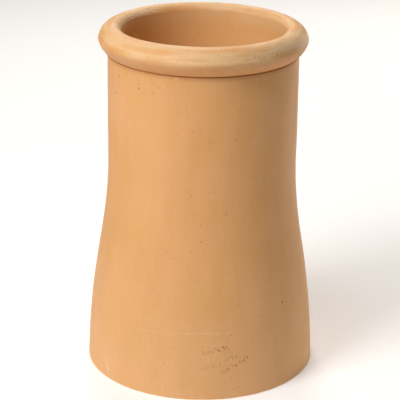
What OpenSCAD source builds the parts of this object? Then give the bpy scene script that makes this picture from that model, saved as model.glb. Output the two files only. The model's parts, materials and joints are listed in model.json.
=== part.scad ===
// Roll-top chimney pot: one fired-clay tube, open at both ends. A short skirt stands on
// the stack, an ogee flare draws it in to a plain cylindrical neck, and a thick round
// roll finishes the mouth. Millimetres, +Z up, origin at the centre of the foot.

/* [Overall] */
// Height from the foot to the top of the roll
pot_height = 450; // [400:10:900]
// Outside diameter of the plain neck
neck_d = 242; // [200:1:300]
// Thickness of the clay wall
wall = 17.5; // [14:0.5:20]

/* [Skirt and flare] */
// Height of the straight-sided skirt above the foot
skirt_height = 33; // [20:1:60]
// Lean of the skirt's side, in degrees from upright
skirt_angle = 3; // [1:0.1:5]
// Steepest lean of the flare, in degrees from upright
flare_angle = 10.6; // [8:0.1:12]
// Radius of the hollow curve that runs up into the neck
cove_r = 625; // [400:5:650]
// Height at which the flare ends and the straight neck begins
neck_start = 280; // [240:5:340]
// Rounding of the foot's outer edge
foot_round = 1.5; // [1:0.5:4]

/* [Roll top] */
// Thickness of the roll's round section
roll_d = 35.6; // [32:0.2:40]
// How far the roll stands out past the neck
roll_projection = 10.9; // [8:0.1:14]
// How far the soft inner edge of the mouth drops from the top to the bore
lip_drop = 8.6; // [5:0.1:12]

/* [Hidden] */

// Steps along each curve of the outline
foot_steps = 6;
flare_steps = 14;
roll_steps = 32;
lip_steps = 10;
// Steps around the axis
turn_steps = 180;

neck_r = neck_d / 2;
bore_r = neck_r - wall;

// The cove is a hollow arc, centred outside the pot, level with the start of the neck
cove_x = neck_r + cove_r;
// The swell is the bulging arc between the cove and the skirt, and touches both smoothly
swell_rise = neck_start - skirt_height - cove_r * sin(flare_angle);
swell_r = swell_rise / (sin(flare_angle) - sin(skirt_angle));
swell_x = cove_x - (cove_r + swell_r) * cos(flare_angle);
swell_z = skirt_height - swell_r * sin(skirt_angle);

// The skirt's side, carried down to the ground
skirt_foot_r = swell_x + swell_r * cos(skirt_angle) + skirt_height * tan(skirt_angle);
inner_foot_r = skirt_foot_r - wall / cos(skirt_angle);
foot_x = skirt_foot_r - foot_round * (tan(skirt_angle) + 1 / cos(skirt_angle));

roll_r = roll_d / 2;
roll_x = neck_r + roll_projection - roll_r;
roll_z = pot_height - roll_r;
// Where the roll's underside meets the neck, as an angle on the roll's section
crease_angle = -acos((neck_r - roll_x) / roll_r);

// Points along an elliptical arc of half-width rx and half-height rz
function arc(x, z, rx, rz, from, to, steps) = [
    for (i = [0:steps])
        let (a = from + (to - from) * i / steps)
        [x + rx * cos(a), z + rz * sin(a)]
];

// From the foot's outer edge up the outside to the top of the roll
function outer_side() = concat(
    arc(foot_x, foot_round, foot_round, foot_round, -90, skirt_angle, foot_steps),
    arc(swell_x, swell_z, swell_r, swell_r, skirt_angle, flare_angle, flare_steps),
    arc(cove_x, neck_start, cove_r, cove_r, 180 + flare_angle, 180, flare_steps),
    arc(roll_x, roll_z, roll_r, roll_r, crease_angle, 90, roll_steps)
);

// From the mouth down the bore to the inside of the foot, one wall thickness inside
function inner_side() = concat(
    arc(roll_x, pot_height - lip_drop, roll_x - bore_r, lip_drop, 90, 180, lip_steps),
    arc(cove_x, neck_start, cove_r + wall, cove_r + wall, 180, 180 + flare_angle, flare_steps),
    arc(swell_x, swell_z, swell_r - wall, swell_r - wall, flare_angle, skirt_angle, flare_steps),
    [[inner_foot_r, 0]]
);

module chimney_pot() {
    color("#dfa46b")
        rotate_extrude($fn = turn_steps)
            polygon(concat(outer_side(), inner_side()));
}

chimney_pot();
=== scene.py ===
import json
import math
import random

import bpy
from mathutils import Matrix, Vector, kdtree, noise


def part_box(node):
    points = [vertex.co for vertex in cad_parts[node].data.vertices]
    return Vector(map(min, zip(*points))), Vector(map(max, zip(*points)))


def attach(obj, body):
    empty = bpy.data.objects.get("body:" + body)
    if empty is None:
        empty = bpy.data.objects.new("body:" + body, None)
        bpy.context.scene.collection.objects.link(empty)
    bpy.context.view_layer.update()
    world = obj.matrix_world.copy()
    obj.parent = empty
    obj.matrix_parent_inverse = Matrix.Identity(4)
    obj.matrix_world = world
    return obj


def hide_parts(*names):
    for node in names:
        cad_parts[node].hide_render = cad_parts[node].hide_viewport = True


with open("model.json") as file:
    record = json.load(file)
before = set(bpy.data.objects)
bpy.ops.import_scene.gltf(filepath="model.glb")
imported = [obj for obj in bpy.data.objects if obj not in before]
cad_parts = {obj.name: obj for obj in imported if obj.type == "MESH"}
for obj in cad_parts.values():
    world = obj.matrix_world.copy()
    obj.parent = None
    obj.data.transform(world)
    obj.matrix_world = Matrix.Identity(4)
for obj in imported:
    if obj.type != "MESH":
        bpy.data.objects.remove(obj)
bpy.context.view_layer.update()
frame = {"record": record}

mm = 0.001
mountSize = {m["name"]: m["dims"] for m in frame["record"]["mounts"]}
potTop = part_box("chimney_pot")[1].z

# the camera stands a little above the rim and looks down into the mouth
cameraSetup = {
    "aim": Vector((-0.002, 0, 0.2143)),
    "distance": 2.0825,          # metres from the aim point
    "lookDown": 20.465,          # degrees
    "roll": 0.67,                # degrees, the camera's own tilt
    "lens": 143.7,               # mm
    "sensor": 36,                # mm
}


def setUpCamera(s):
    down = math.radians(s["lookDown"])
    back = Vector((0, -math.cos(down), math.sin(down))) * s["distance"]
    bpy.ops.object.camera_add(location=s["aim"] + back)
    camera = bpy.context.active_object
    facing = (-back).to_track_quat("-Z", "Y").to_matrix().to_4x4()
    tilt = Matrix.Rotation(math.radians(s["roll"]), 4, "Z")
    camera.matrix_world = Matrix.Translation(s["aim"] + back) @ facing @ tilt
    camera.data.lens = s["lens"]
    camera.data.sensor_width = s["sensor"]
    bpy.context.scene.camera = camera
    print("camera set")


setUpCamera(cameraSetup)

pot = {
    "steps": 216,                # faces round the pot
    "height": potTop,
    "neck": mountSize["neck_strap"]["r_mm"] * mm,
    "bore": mountSize["flue_mouth"]["r_mm"] * mm,
    "skirtHeight": 33 * mm,
    "skirtLean": math.radians(3),
    "flareLean": math.radians(10.6),
    "coveRadius": 625 * mm,
    "neckStart": 280 * mm,
    "footRound": 1.5 * mm,
    "rollThick": 35.6 * mm,
    "rollProud": 10.9 * mm,
    "lipDrop": 8.6 * mm,
    "quirk": 1.3 * mm,           # depth of the cut line where the roll sits on the neck
    "quirkDrop": 0.3 * mm,       # from the roll down to it
    "quirkTall": 1.7 * mm,
    "quirkCut": [(0.45, 0.7), (1.0, 1.0), (1.45, 0.7)],    # mm up the cut, and share of its depth
    "ring": 5 * mm,              # height of the faces on the plain sides
    "footSteps": 4,
    "rollSteps": 44,
    "lipSteps": 10,
    "boreRings": 45,
    "topmost": 449,              # mm, the roll's last millimetre counts as being at this height
    "smoothUnder": 38,           # degrees, sharper edges stay sharp
    # where the roll leaves a true round: turn up its section and half width (degrees), and how far (mm)
    "rollShape": {"arris": (2, 16, 0.55), "flatUnder": (-35, 34, -0.72)},
}
pot["wall"] = pot["neck"] - pot["bore"]


def arc(x, z, rx, rz, start, end, steps):
    turns = [start + (end - start) * i / steps for i in range(steps + 1)]
    return [(x + rx * math.cos(a), z + rz * math.sin(a)) for a in turns]


def swell(x, middle, half, most):   # rises smoothly to most and dies away again
    near = max(0, 1 - abs(x - middle) / half)
    return most * math.sin(near * math.pi / 2) ** 2


def potSides(p):
    fl, sk = p["flareLean"], p["skirtLean"]
    coveX = p["neck"] + p["coveRadius"]
    coveFoot = p["neckStart"] - p["coveRadius"] * math.sin(fl)
    swellR = (coveFoot - p["skirtHeight"]) / (math.sin(fl) - math.sin(sk))
    rollR = p["rollThick"] / 2
    rollX = p["neck"] + p["rollProud"] - rollR
    rollZ = p["height"] - rollR
    crease = -math.acos((p["neck"] - rollX) / rollR)
    return {
        "coveX": coveX,
        "coveFoot": coveFoot,
        "swellR": swellR,
        "swellX": coveX - (p["coveRadius"] + swellR) * math.cos(fl),
        "swellZ": p["skirtHeight"] - swellR * math.sin(sk),
        "rollR": rollR,
        "rollX": rollX,
        "rollZ": rollZ,
        "crease": crease,
        "creaseZ": rollZ + rollR * math.sin(crease),
    }


sides = potSides(pot)


def outsideAt(z, inset=0.0):   # radius of the plain side at a height
    p, s = pot, sides
    if z >= p["neckStart"]:
        return p["neck"] - inset
    if z >= s["coveFoot"]:
        return s["coveX"] - math.sqrt((p["coveRadius"] + inset) ** 2 - (p["neckStart"] - z) ** 2)
    if z >= p["skirtHeight"]:
        return s["swellX"] + math.sqrt((s["swellR"] - inset) ** 2 - (z - s["swellZ"]) ** 2)
    corner = s["swellX"] + (s["swellR"] - inset) * math.cos(p["skirtLean"])
    return corner + (p["skirtHeight"] - z) * math.tan(p["skirtLean"])


def rollPoint(turn):
    s = sides
    r = s["rollR"] + mm * sum(swell(math.degrees(turn), *part) for part in pot["rollShape"].values())
    return s["rollX"] + r * math.cos(turn), s["rollZ"] + r * math.sin(turn)


def outline(p, s):
    footR = outsideAt(0) - p["footRound"]
    foot = arc(footR, p["footRound"], p["footRound"], p["footRound"], -math.pi / 2, 0, p["footSteps"])
    quirkFoot = s["creaseZ"] - p["quirkDrop"] - p["quirkTall"]
    rings = int((quirkFoot - p["footRound"]) / p["ring"])
    heights = [p["footRound"] + (quirkFoot - p["footRound"]) * i / rings for i in range(1, rings + 1)]
    side = [(outsideAt(z), z) for z in heights]
    quirk = [(p["neck"] - p["quirk"] * share, quirkFoot + up * mm) for up, share in p["quirkCut"]]
    roll = [rollPoint(s["crease"] + (math.pi / 2 - s["crease"]) * i / p["rollSteps"])
            for i in range(p["rollSteps"] + 1)]
    lip = arc(s["rollX"], p["height"] - p["lipDrop"], s["rollX"] - p["bore"], p["lipDrop"],
              math.pi / 2, math.pi, p["lipSteps"])
    down = [lip[-1][1] * (1 - i / p["boreRings"]) for i in range(1, p["boreRings"] + 1)]
    inside = [(outsideAt(z, p["wall"]), z) for z in down]
    return foot + side + quirk + roll + lip[1:] + inside


# the outline is drawn from one point, extruded on from place to place, and then spun round
def turnPot(points, steps):
    bpy.ops.object.select_all(action="DESELECT")
    r0, z0 = points[0]
    bpy.ops.mesh.primitive_plane_add(size=mm, location=(0, 0, 0))
    piece = bpy.context.active_object
    piece.name = "chimneyPot"
    bpy.ops.object.mode_set(mode="EDIT")
    bpy.ops.mesh.select_all(action="SELECT")
    bpy.ops.mesh.merge(type="CENTER")
    bpy.ops.transform.translate(value=(0, -r0, z0))
    for (r, z), (nextR, nextZ) in zip(points, points[1:]):
        move = {"value": (0, r - nextR, nextZ - z)}
        bpy.ops.mesh.extrude_region_move(TRANSFORM_OT_translate=move)
    bpy.ops.mesh.select_all(action="SELECT")
    bpy.ops.mesh.spin(steps=steps, angle=math.tau, center=(0, 0, 0), axis=(0, 0, 1))
    bpy.ops.mesh.select_all(action="SELECT")
    bpy.ops.mesh.remove_doubles(threshold=0.01 * mm)
    bpy.ops.object.mode_set(mode="OBJECT")
    return piece


# close the foot ring, from the bore's foot out to the rounded edge
def closeFoot():
    bpy.ops.object.mode_set(mode="EDIT")
    bpy.ops.mesh.select_mode(type="EDGE")
    bpy.ops.mesh.select_all(action="DESELECT")
    bpy.ops.mesh.select_non_manifold()
    bpy.ops.mesh.bridge_edge_loops()
    bpy.ops.mesh.select_all(action="SELECT")
    bpy.ops.mesh.normals_make_consistent(inside=False)
    bpy.ops.mesh.select_mode(type="FACE")
    bpy.ops.object.mode_set(mode="OBJECT")


piece = turnPot(outline(pot, sides), pot["steps"])
print("pot turned:", len(piece.data.polygons), "faces")
closeFoot()
print("foot closed:", len(piece.data.polygons), "faces")

# marks in the clay, each at a turn from the front (degrees, to the right) and a height (mm);
# a pit's width comes third
marks = {
    "pits": [(-58, 400, 2.4), (-40, 398, 2.2), (-40, 392, 2.4), (-30, 390, 1.8), (-24, 392, 1.4),
             (-16, 414, 1.5), (4, 334, 1.6), (20, 334, 1.8), (-34, 275, 1.4), (-24, 276, 1.5),
             (-28, 265, 1.4), (14, 240, 1.8), (-38, 195, 1.4), (0, 206, 1.8), (-2, 154, 1.5),
             (10, 146, 1.5), (-26, 140, 1.4), (-4, 140, 1.4), (48, 112, 3.4), (-18, 46, 1.9),
             (16, 86, 1.8), (-30, 436, 1.6), (-26, 428, 1.6), (8, 445, 1.6), (30, 445, 1.8)],
    "pitDepth": 0.3,             # of its width
    "pitDark": 1.7,              # mm, narrower pits get less painted shade
    "pitRagged": 0.3,            # how far its edge wanders, of its width
    "pitsBehind": {"count": 34, "turn": (62, 298), "height": (14, 444), "width": (1.2, 2.6)},
    "rollGrit": {"count": 34, "turn": (22, 46), "height": (428, 442), "width": (1.1, 1.9)},
    "score": {"line": [(-34, 82), (-28, 86), (-16, 87), (4, 90), (16, 88)],
              "wide": 1.0, "deep": 0.3, "rim": 0.15, "pale": 0.6, "broken": 0.9},
    "chip": {"line": [(-54, 19), (-53, 11)], "wide": 2.2, "deep": 0.6, "pale": 1.0},
    # a painted highlight, a whitish sheen on the right end of the roll, in degrees round the pot and round
    # the roll
    "rollSheen": {"turn": 55, "turnReach": 36, "section": 52, "sectionReach": 48, "strength": 0.75},
    # torn clay on the inside of the lip, out to a radius in mm; dark paints shade into its hollows, pale
    # is worn clay
    "roughLip": {"turn": (-156, -98), "height": (443, 449), "out": 108, "fade": 15, "deep": 0.7,
                 "grain": 1.9, "fineGrain": 0.8, "dark": 0.6, "pale": 0.85},
    # painted shade along the cut line, and up the underside of the roll (mm, and how dark)
    "rollShade": {"lineDrop": 1.1, "lineHalf": 1.6, "lineDark": 0.42, "reach": 19, "dark": 0.3},
    # streaks that break up the painted highlight on the roll: how close they lie round the pot and round
    # the roll, and how strong
    "rollStreaks": {"level": 0.52, "broad": (2.7, 2.4, 1.0), "fine": (7, 8, 0.35)},
}
# the works' mark, pressed low on the front: rows of plain short strokes, no letters
# each row: from place, to place, how hard its first and last strokes are pressed
stamp = {
    "rows": [((2, 64), (13, 70), 0.6, 1.0),
             ((12, 64), (16, 65), 0.35, 0.5),
             ((14, 54), (18, 56), 0.45, 0.65),
             ((2, 42), (10, 48), 0.35, 0.5),
             ((11, 37), (24, 52), 0.6, 0.9)],
    "tall": 6.0,                 # mm, as are the next four
    "wide": 1.5,
    "deep": 1.05,
    "rim": 0.25,                 # clay pushed up at the sides
    "pitch": 3.5,
    # painted shade in the strokes, and painted highlight on their pushed-up sides
    "dark": 0.62,
    "pale": 0.4,
    "unevenBy": 0.35,            # degrees round the pot
    "leans": (0, 8, 14, 20, 28),               # degrees, all to one side
    "parts": (1.0, 0.85, 0.65, 0.45, 0.35),    # of the full height
}
# finer faces under the marks: cuts across each face, and how far round the mark (mm)
fineness = {
    "stamp": (9, 7.5),
    "score": (6, 3.4),
    "chip": (6, 4),
    "rollPit": (3, 3.2),
    "sidePit": (6, 3.2),
    "roughLip": (3, 0),
    "uncut": 8 * mm * mm,        # smaller faces on the plain sides have been cut already
    "uncutOnRoll": 0.5 * mm * mm,
}


def turnOf(place):
    return math.degrees(math.atan2(place.x, -place.y))


def radiusAt(height):   # the outside, roll and all
    s = sides
    if height * mm < s["creaseZ"]:
        return outsideAt(height * mm)
    lift = max(-1, min(1, (height * mm - s["rollZ"]) / s["rollR"]))
    return s["rollX"] + s["rollR"] * math.sqrt(1 - lift * lift)


def onSurface(turn, height):
    a = math.radians(turn)
    r = radiusAt(height)
    return Vector((r * math.sin(a), -r * math.cos(a), height * mm))


def apart(turnA, turnB):   # degrees, the short way round
    return abs((turnA - turnB + 180) % 360 - 180)


def everyPit(m):
    random.seed(11)
    found = list(m["pits"])
    behind, grit = m["pitsBehind"], m["rollGrit"]
    for i in range(behind["count"]):
        turn = random.uniform(*behind["turn"])
        wide = random.uniform(*behind["width"])
        found.append((turn, random.uniform(*behind["height"]), wide))
    for i in range(grit["count"]):
        wide = random.uniform(*grit["width"])
        found.append((random.uniform(*grit["turn"]), random.uniform(*grit["height"]), wide))
    return found


def refine(piece, cuts, reach, wanted):
    bpy.ops.object.mode_set(mode="EDIT")
    bpy.ops.mesh.select_mode(type="FACE")
    bpy.ops.mesh.select_all(action="DESELECT")
    bpy.ops.object.mode_set(mode="OBJECT")
    for face in piece.data.polygons:
        face.select = wanted(face.center, face.area, reach * mm)
    bpy.ops.object.mode_set(mode="EDIT")
    bpy.ops.mesh.subdivide(number_cuts=cuts, quadcorner="INNERVERT", ngon=False)
    bpy.ops.object.mode_set(mode="OBJECT")


def isOutside(place, margin=4 * mm):   # on the outside, not in the bore
    return math.hypot(place.x, place.y) > radiusAt(min(place.z / mm, pot["topmost"])) - margin


def gapTo(place, start, end):   # metres from a short line on the surface
    r = radiusAt(start[1])
    alongX = math.radians(end[0] - start[0]) * r
    alongZ = (end[1] - start[1]) * mm
    toX = math.radians((turnOf(place) - start[0] + 180) % 360 - 180) * r
    toZ = place.z - start[1] * mm
    f = max(0, min(1, (toX * alongX + toZ * alongZ) / (alongX ** 2 + alongZ ** 2)))
    return math.hypot(toX - alongX * f, toZ - alongZ * f)


def nearLine(place, line, reach):
    return any(gapTo(place, start, end) < reach for start, end in zip(line, line[1:]))


pits = everyPit(marks)
pitTree = kdtree.KDTree(len(pits))
for i, (turn, height, wide) in enumerate(pits):
    pitTree.insert(onSurface(turn, height), i)
pitTree.balance()


def inStamp(place, area, reach):
    return isOutside(place) and any(
        nearLine(place, [first, last], reach) for first, last, soft, hard in stamp["rows"])


def nearScore(place, area, reach):
    return area > fineness["uncut"] and isOutside(place) and nearLine(place, marks["score"]["line"], reach)


def nearChip(place, area, reach):
    return area > fineness["uncut"] and isOutside(place) and nearLine(place, marks["chip"]["line"], reach)


def nearPit(place, reach):
    spot, i, gap = pitTree.find(place)
    return isOutside(place) and gap < reach + pits[i][2] / 2 * mm


def nearRollPit(place, area, reach):
    return area > fineness["uncutOnRoll"] and place.z > sides["creaseZ"] and nearPit(place, reach)


def nearSidePit(place, area, reach):
    return area > fineness["uncut"] and place.z < sides["creaseZ"] and nearPit(place, reach)


def onRoughLip(place, area=0, reach=0):
    rough = marks["roughLip"]
    r = math.hypot(place.x, place.y) / mm
    return (rough["turn"][0] < turnOf(place) < rough["turn"][1] and r < rough["out"]
            and rough["height"][0] < place.z / mm < rough["height"][1])


for mark, wanted in (("stamp", inStamp), ("score", nearScore), ("chip", nearChip),
                     ("rollPit", nearRollPit), ("sidePit", nearSidePit), ("roughLip", onRoughLip)):
    refine(piece, *fineness[mark], wanted)
print("marks given finer faces:", len(piece.data.polygons), "faces")


# the new points are set back on the turned shape
def settle(vert):
    s = sides
    x, y, z = vert.co
    r = math.hypot(x, y)
    if pot["footRound"] < z < s["creaseZ"] - 2 * mm and isOutside(vert.co, 2 * mm):
        true = outsideAt(z)
        vert.co = (x * true / r, y * true / r, z)
    elif z > s["creaseZ"] and r > s["rollX"]:
        true, lift = rollPoint(math.atan2(z - s["rollZ"], r - s["rollX"]))
        vert.co = (x * true / r, y * true / r, lift)


for vert in piece.data.vertices:
    settle(vert)

tree = kdtree.KDTree(len(piece.data.vertices))
for vert in piece.data.vertices:
    tree.insert(vert.co, vert.index)
tree.balance()
relief = [0.0] * len(piece.data.vertices)      # metres out of the surface
paintedShade = [0.0] * len(piece.data.vertices)        # 0 to 1, painted shade in the hollows and marks, along the cut line and under the roll
rubAndSheen = [0.0] * len(piece.data.vertices)       # 0 to 1, pale worn clay, and painted highlight on the stamp's sides and the roll's right end
rollStreaks = [0.0] * len(piece.data.vertices)      # 0 to 1, streaks through the painted highlight on the roll's top


def pressPit(turn, height, wide):
    spot = onSurface(turn, height)
    half = wide / 2 * mm
    deep = wide * marks["pitDepth"]
    for co, i, gap in tree.find_range(spot, half * 1.9):
        edge = half * (1 + marks["pitRagged"] * noise.noise(co * 900))
        if gap < edge:
            fall = 1 - (gap / edge) ** 2
            relief[i] = min(relief[i], -deep * mm * fall)
            paintedShade[i] = max(paintedShade[i], min(1, fall * 1.3) * min(1, wide / marks["pitDark"]))


# a groove with its clay pushed up along both sides; a broken one comes and goes. Dark paints shade into
# the groove; pale makes a groove without it paler, and the pushed-up sides too: worn clay on the score and
# chip, painted highlight on the stamp
def pressLine(line, wide, deep, rim=0.0, dark=0.0, pale=0.0, broken=0.0):
    half = wide / 2 * mm
    for start, end in zip(line, line[1:]):
        a, b = onSurface(*start), onSurface(*end)
        reach = (a - b).length / 2 + half * 2.5
        for co, i, gap in tree.find_range((a + b) / 2, reach):
            off = gapTo(co, start, end)
            hard = 1 - broken * max(0, min(1, 0.5 + 1.6 * noise.noise(co * 110)))
            if off < half:
                fall = (1 - (off / half) ** 2) * hard
                relief[i] = min(relief[i], -deep * mm * fall)
                paintedShade[i] = max(paintedShade[i], dark * fall)
                if not dark:
                    rubAndSheen[i] = max(rubAndSheen[i], pale * fall)
            elif off < half * 2.2 and relief[i] >= 0:
                swellUp = math.sin(math.pi * (off - half) / (half * 1.2)) * hard
                relief[i] = max(relief[i], rim * mm * swellUp)
                rubAndSheen[i] = max(rubAndSheen[i], pale * 0.8 * swellUp)


def pressStamp(s):
    random.seed(23)
    for first, last, soft, hard in s["rows"]:
        r = radiusAt(first[1]) / mm
        run = math.radians(last[0] - first[0]) * r
        rise = last[1] - first[1]
        slope = math.atan2(rise, run)
        strokes = max(2, round(math.hypot(run, rise) / s["pitch"]) + 1)
        for k in range(strokes):
            f = k / (strokes - 1)
            push = soft + (hard - soft) * f
            lean = slope + math.radians(random.choice(s["leans"]))
            part = random.choice(s["parts"])
            turn = first[0] + (last[0] - first[0]) * f + random.uniform(-s["unevenBy"], s["unevenBy"])
            height = first[1] + rise * f + random.choice((-0.5, 0, 0.5)) * (1 - part) * s["tall"]
            half = s["tall"] * part / 2
            side = math.degrees(-math.sin(lean) * half / r)
            up = math.cos(lean) * half
            pressLine([(turn - side, height - up), (turn + side, height + up)], s["wide"],
                      s["deep"] * push, rim=s["rim"] * push, dark=s["dark"] * push, pale=s["pale"] * push)


def roughenLip(rough, vert):
    i = vert.index
    start, end = rough["turn"]
    edge = min(1, min(turnOf(vert.co) - start, end - turnOf(vert.co)) / rough["fade"])
    grain = noise.noise(vert.co / (rough["grain"] * mm))
    grain += 0.6 * noise.noise(vert.co / (rough["fineGrain"] * mm))
    relief[i] -= rough["deep"] * mm * max(0, grain + 0.15) * edge
    paintedShade[i] = max(paintedShade[i], min(1, max(0, grain) * 1.3) * edge * rough["dark"])
    rubAndSheen[i] = max(rubAndSheen[i], (0.6 + max(0, -grain)) * edge * rough["pale"])


def paintRollShade(rollShade, vert):   # painted shade, darkest along the cut line where the roll meets the neck and fading up the roll's underside
    i = vert.index
    offLine = abs(vert.co.z - sides["creaseZ"] + rollShade["lineDrop"] * mm)
    if offLine < rollShade["lineHalf"] * mm and isOutside(vert.co, 3 * mm):
        paintedShade[i] = max(paintedShade[i], rollShade["lineDark"])
    under = (vert.co.z - sides["creaseZ"]) / (rollShade["reach"] * mm)
    if 0 < under < 1 and isOutside(vert.co, 6 * mm):
        paintedShade[i] = max(paintedShade[i], rollShade["dark"] * min(1, 2.5 * (1 - under)))


# painted highlight on the roll: streaks through its pale top, and a whitish sheen on its right end
def paintRollHighlight(streaks, rollSheen, vert):
    i = vert.index
    x, y, z = vert.co
    section = math.atan2(z - sides["rollZ"], math.hypot(x, y) - sides["rollX"])
    turn = math.atan2(y, x)
    ring = Vector((math.cos(turn), math.sin(turn), 0))
    streaky = streaks["level"]
    for size in ("broad", "fine"):
        across, up, strength = streaks[size]
        mottle = noise.noise(ring * across + Vector((0, 0, section * up)))
        streaky += strength * mottle
    rollStreaks[i] = max(0, min(1, streaky))
    aside = apart(turnOf(vert.co), rollSheen["turn"]) / rollSheen["turnReach"]
    upOrDown = (math.degrees(section) - rollSheen["section"]) / rollSheen["sectionReach"]
    white = max(0, 1 - aside ** 2 - upOrDown ** 2) * (0.7 + 0.9 * mottle)
    rubAndSheen[i] = max(rubAndSheen[i], rollSheen["strength"] * white)


for pit in pits:
    pressPit(*pit)
pressLine(**marks["score"])
pressLine(**marks["chip"])
pressStamp(stamp)
for vert in piece.data.vertices:
    if onRoughLip(vert.co):
        roughenLip(marks["roughLip"], vert)
    paintRollShade(marks["rollShade"], vert)
    if vert.co.z > sides["creaseZ"]:
        paintRollHighlight(marks["rollStreaks"], marks["rollSheen"], vert)
print("marks pressed")

for name, values in (("paintedShade", paintedShade), ("rubAndSheen", rubAndSheen), ("rollStreaks", rollStreaks)):
    layer = piece.data.attributes.new(name, "FLOAT", "POINT")
    layer.data.foreach_set("value", values)

# a hand-finished wall is never quite true: it has broad waves and smaller ones
waves = {
    "broad": (80, 0.6),          # size of the waves, and how far they move the surface (mm)
    "small": (20, 0.14),
}
footFlat = 12 * mm               # below this the waves die away, so that the foot sits flat


def wave(place):
    free = min(1, place.z / footFlat)
    return free * sum(move * mm * noise.noise(place / (size * mm)) for size, move in waves.values())


# every point moves straight out of the surface, or into it
outward = [vert.normal.copy() for vert in piece.data.vertices]
for vert, way, lift in zip(piece.data.vertices, outward, relief):
    vert.co += way * (lift + wave(vert.co))
bpy.ops.object.shade_smooth_by_angle(angle=math.radians(pot["smoothUnder"]))
print("surface finished:", sum(len(f.vertices) - 2 for f in piece.data.polygons), "triangles")


def linear(code):   # an sRGB hex colour as linear light
    parts = [int(code[i:i + 2], 16) / 255 for i in (1, 3, 5)]
    return tuple(((c + 0.055) / 1.055) ** 2.4 if c > 0.04045 else c / 12.92 for c in parts) + (1,)


# settings are the node's own fields or its sockets' values, and links are what feeds its sockets
def addNode(tree, kind, settings, links=None):
    node = tree.nodes.new(kind)
    own = {key for key in settings if isinstance(key, str) and hasattr(node, key)}
    for key in sorted(own):
        setattr(node, key, settings[key])
    for key, value in settings.items():
        if key not in own:
            node.inputs[key].default_value = value
    for key, socket in (links or {}).items():
        tree.links.new(socket, node.inputs[key])
    return node


# unglazed terracotta, turned and fired bare: a dry buff-orange skin with soft cloudy tone,
# fine sand in it, a few iron specks and bits of pale grog, and a broad weak shine
terracotta = {
    "buff": "#E6A96A",
    "warm": "#DFA15C",
    "streak": "#D0935A",
    "rim": "#E8BB86",            # painted highlight: the roll's upper half paler, as lit from above, broken into streaks
    # painted light: the inside of the bore paler and yellower, standing in for light on the inner wall
    "bore": "#E7B87A",
    "foot": "#F9C68C",           # paler towards the foot, fading upwards
    "footPaleHeight": 190,            # mm, how high it reaches
    "footStrength": 0.38,
    "iron": "#A0642F",
    "grog": "#F2D2A8",
    "shade": "#A65E24",          # painted shade, down in the marks, along the cut line and under the roll
    # pale worn clay, and painted highlight on the stamp's sides and the roll's right end
    "rubbedAndSheen": "#F4D6AE",
    "cloud": 75,                 # mm
    "streakWide": 17,            # mm
    "streakDraw": 0.16,          # the streaks are drawn out six times as long as they are wide
    "sand": 2.2,                 # mm, coarser than real sand so that it shows
    "sandRise": 0.3,             # mm
    "ironApart": 10,             # mm, as are the next three
    "ironSize": 1.0,
    "grogApart": 7,
    "grogSize": 0.6,
    "ironRare": 0.5,             # the share of places with no speck
    "grogRare": 0.7,
    "roughness": (0.56, 0.68),
    "specular": 0.69,
}


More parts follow.
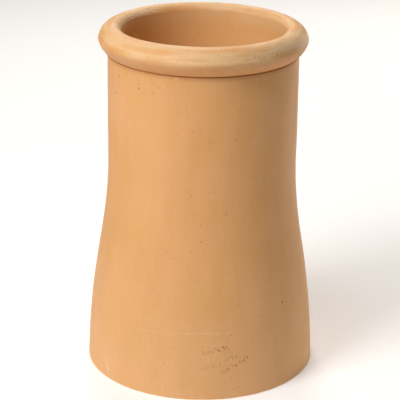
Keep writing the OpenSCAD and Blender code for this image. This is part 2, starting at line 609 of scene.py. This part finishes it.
def makeTerracotta(t):
    clay = bpy.data.materials.new("unglazed terracotta")
    clay.use_nodes = True
    tree = clay.node_tree
    shader = tree.nodes["Principled BSDF"]
    shader.inputs["Specular IOR Level"].default_value = t["specular"]

    # places on the pot, in metres
    place = addNode(tree, "ShaderNodeTexCoord", {}).outputs["Object"]
    height = addNode(tree, "ShaderNodeSeparateXYZ", {}, {0: place}).outputs["Z"]
    level = addNode(tree, "ShaderNodeVectorMath", {"operation": "MULTIPLY", 1: (1, 1, 0)}, {0: place})
    length = addNode(tree, "ShaderNodeVectorMath", {"operation": "LENGTH"}, {0: level.outputs[0]})
    across = length.outputs["Value"]

    # the clay's own patterns
    cloud = addNode(tree, "ShaderNodeTexNoise", {"Scale": 1 / (t["cloud"] * mm), "Detail": 3.0},
                    {"Vector": place}).outputs["Fac"]
    drawn = addNode(tree, "ShaderNodeMapping", {"Scale": (1, 1, t["streakDraw"])}, {"Vector": place})
    streak = addNode(tree, "ShaderNodeTexNoise", {"Scale": 1 / (t["streakWide"] * mm), "Detail": 3.0},
                     {"Vector": drawn.outputs[0]}).outputs["Fac"]
    sand = addNode(tree, "ShaderNodeTexNoise", {"Scale": 1 / (t["sand"] * mm), "Detail": 2.0},
                   {"Vector": place}).outputs["Fac"]
    specks = {}
    for name in ("iron", "grog"):
        cells = addNode(tree, "ShaderNodeTexVoronoi", {"Scale": 1 / (t[name + "Apart"] * mm)},
                        {"Vector": place})
        chance = addNode(tree, "ShaderNodeSeparateColor", {}, {0: cells.outputs["Color"]})
        size = t[name + "Size"] / t[name + "Apart"]
        rare = t[name + "Rare"]
        specks[name] = [(cells.outputs["Distance"], size, size * 0.45),
                        (chance.outputs[0], rare, rare + 0.25)]
    worked = {}
    for name in ("rollStreaks", "paintedShade", "rubAndSheen"):
        worked[name] = addNode(tree, "ShaderNodeAttribute", {"attribute_name": name}).outputs["Fac"]

    # layers of colour over the buff, each with its strength and where it goes from none to all
    rollFoot, lipTop = sides["creaseZ"], pot["height"]
    layers = [
        ("warm", 1.0, [(cloud, 0.32, 0.68)]),
        ("streak", 0.22, [(streak, 0.45, 0.75)]),
        ("foot", t["footStrength"], [(height, t["footPaleHeight"] * mm, 0)]),
        # painted highlight: the roll's upper half paler, where the streaks allow
        ("rim", 1.0, [(height, rollFoot + 9 * mm, rollFoot + 18 * mm), (worked["rollStreaks"], 0.04, 0.75)]),
        # painted light: the bore paler and yellower inside
        ("bore", 0.6, [(across, pot["bore"] + 7.5 * mm, pot["bore"] + 2.5 * mm),
                       (height, lipTop - 7 * mm, lipTop - 14 * mm)]),
        ("streak", 0.3, [(sand, 0.5, 0.78)]),
        ("grog", 0.22, [(sand, 0.42, 0.2)]),
        ("iron", 0.65, specks["iron"]),
        ("grog", 0.6, specks["grog"]),
        # painted shade, then pale worn clay with painted highlights
        ("shade", 0.9, [(worked["paintedShade"], 0, 1)]),
        ("rubbedAndSheen", 0.7, [(worked["rubAndSheen"], 0, 1)]),
    ]
    below = {}
    for name, strength, ramps in layers:
        amount = {}
        for socket, none, full in ramps:
            ramp = addNode(tree, "ShaderNodeMapRange", {"From Min": none, "From Max": full},
                           {"Value": socket})
            times = {0: ramp.outputs[0], **amount}
            product = addNode(tree, "ShaderNodeMath", {"operation": "MULTIPLY", 1: strength}, times)
            amount = {1: product.outputs[0]}
        colours = {"data_type": "RGBA", 6: linear(t["buff"]), 7: linear(t[name])}
        mix = addNode(tree, "ShaderNodeMix", colours, {0: product.outputs[0], **below})
        below = {6: mix.outputs[2]}
    tree.links.new(mix.outputs[2], shader.inputs["Base Color"])

    smooth, rough = t["roughness"]
    dry = addNode(tree, "ShaderNodeMapRange",
                  {"From Min": 0.3, "From Max": 0.7, "To Min": smooth, "To Max": rough}, {"Value": streak})
    tree.links.new(dry.outputs[0], shader.inputs["Roughness"])
    bump = addNode(tree, "ShaderNodeBump", {"Strength": 0.35, "Distance": t["sandRise"] * mm},
                   {"Height": sand})
    tree.links.new(bump.outputs["Normal"], shader.inputs["Normal"])
    return clay


piece.data.materials.append(makeTerracotta(terracotta))
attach(piece, "root")
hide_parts("chimney_pot")
print("clay made")

# a plain pale floor under soft square lights
studio = {
    "floorSize": 14,             # metres
    "floor": "#F8F8F8",
    "floorRoughness": 0.9,
    "floorGlow": 0.2,            # lit from below, as a light table is
    "roomGlow": 0.03,
    "distance": 2.6,             # metres from the pot to each light
    "lightSize": 1.0,            # metres
    "aim": Vector((0, 0, 0.25)),
    # turn from the front and height (degrees), power (watts), colour
    "lights": {
        "key": (-48, 42, 39, "#FFFFFF"),
        "leftFill": (-70, 38, 6, "#FFFFFF"),
        "above": (-12, 69, 18.5, "#FFFAF2"),
        "backLow": (138, 7, 20, "#FFF2E0"),
        "backHigh": (182, 42, 26, "#FFFAF4"),
    },
}


def addFloor(s):
    bpy.ops.mesh.primitive_plane_add(size=s["floorSize"])
    floor = bpy.context.active_object
    floor.name = "floor"
    paint = bpy.data.materials.new("matt white floor")
    paint.use_nodes = True
    shader = paint.node_tree.nodes["Principled BSDF"]
    shader.inputs["Base Color"].default_value = linear(s["floor"])
    shader.inputs["Roughness"].default_value = s["floorRoughness"]
    shader.inputs["Emission Color"].default_value = linear("#FFFFFF")
    shader.inputs["Emission Strength"].default_value = s["floorGlow"]
    floor.data.materials.append(paint)


def addLights(s):
    for name, (turn, lift, power, tint) in s["lights"].items():
        a, e = math.radians(turn), math.radians(lift)
        way = Vector((math.sin(a) * math.cos(e), -math.cos(a) * math.cos(e), math.sin(e)))
        facing = (-way).to_track_quat("-Z", "Y").to_euler()
        bpy.ops.object.light_add(type="AREA", location=s["aim"] + way * s["distance"], rotation=facing)
        light = bpy.context.active_object
        light.name = name
        light.data.shape = "SQUARE"
        light.data.size = s["lightSize"]
        light.data.energy = power
        light.data.color = linear(tint)[:3]


def addRoom(s):
    room = bpy.data.worlds.new("studio")
    bpy.context.scene.world = room
    room.use_nodes = True
    backdrop = room.node_tree.nodes["Background"]
    backdrop.inputs["Color"].default_value = linear("#FFFFFF")
    backdrop.inputs["Strength"].default_value = s["roomGlow"]


addFloor(studio)
addLights(studio)
addRoom(studio)
bpy.context.scene.view_settings.view_transform = "Standard"
print("studio lit")
